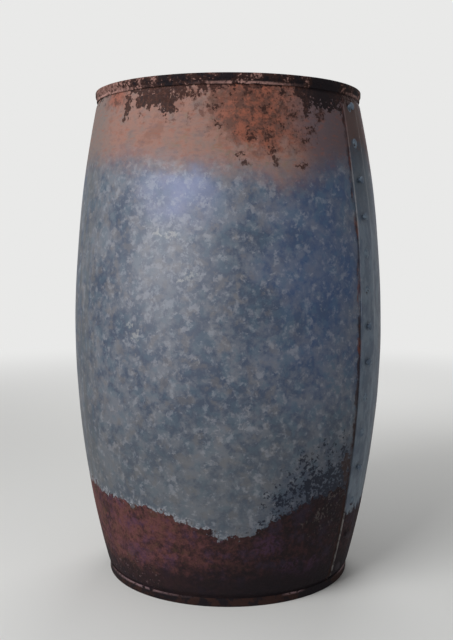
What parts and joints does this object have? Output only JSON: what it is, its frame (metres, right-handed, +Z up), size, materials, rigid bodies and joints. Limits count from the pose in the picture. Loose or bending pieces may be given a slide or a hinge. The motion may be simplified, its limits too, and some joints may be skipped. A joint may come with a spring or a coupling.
{
  "type": "oil barrel",
  "caption": "Bulging steel oil barrel with a riveted lap seam, a channel hoop on each end and two screw plugs in its recessed top head.",
  "frame": {"origin": "centre of the circle that the barrel stands on, at the floor", "axes": "+Z up along the barrel's axis; -Y is the front that the picture shows, with the riveted seam towards +X"},
  "size_m": [0.58, 0.58, 0.9],
  "materials": {
    "galvanised_sheet": "weathered galvanised sheet, rusted at both ends",
    "rusted_sheet": "rusted steel sheet",
    "rusted_steel": "dark rusted steel",
    "rivet_steel": "dull galvanised rivet heads",
    "cast_plug": "rusted malleable iron",
    "gasket_rubber": "old black rubber"
  },
  "bodies": {
    "barrel": {"body_shell": "galvanised_sheet", "top_hoop": "rusted_steel", "bottom_hoop": "rusted_steel", "top_head": "rusted_sheet", "bottom_head": "rusted_sheet", "bung_collar": "rusted_steel", "vent_collar": "rusted_steel", "seam_rivet_01": "rivet_steel", "seam_rivet_02": "rivet_steel", "seam_rivet_03": "rivet_steel", "seam_rivet_04": "rivet_steel", "seam_rivet_05": "rivet_steel", "seam_rivet_06": "rivet_steel", "seam_rivet_07": "rivet_steel", "seam_rivet_08": "rivet_steel", "seam_rivet_09": "rivet_steel", "seam_rivet_10": "rivet_steel", "seam_rivet_11": "rivet_steel", "seam_rivet_12": "rivet_steel", "seam_rivet_13": "rivet_steel", "seam_rivet_14": "rivet_steel"},
    "bung_seal": {"bung_gasket": "gasket_rubber"},
    "bung": {"bung_plug": "cast_plug"},
    "vent_seal": {"vent_gasket": "gasket_rubber"},
    "vent": {"vent_plug": "cast_plug"}
  },
  "joints": [
    {"name": "bung_rise", "type": "slide", "parent": "barrel", "child": "bung_seal", "axis": [0, 0, 1], "range_m": [0, 0.01385]},
    {"name": "bung_turn", "type": "hinge", "parent": "bung_seal", "child": "bung", "pos_m": [-0.1009, -0.13055, 0.8826], "axis": [0, 0, 1], "range_deg": [0, 2160]},
    {"name": "vent_rise", "type": "slide", "parent": "barrel", "child": "vent_seal", "axis": [0, 0, 1], "range_m": [0, 0.01088]},
    {"name": "vent_turn", "type": "hinge", "parent": "vent_seal", "child": "vent", "pos_m": [0.1009, 0.13055, 0.8822], "axis": [0, 0, 1], "range_deg": [0, 2160]}
  ],
  "couplings": [
    {"joint": "bung_turn", "follows": "bung_rise", "rad_per_m": 2721.1},
    {"joint": "vent_turn", "follows": "vent_rise", "rad_per_m": 3463.2}
  ]
}
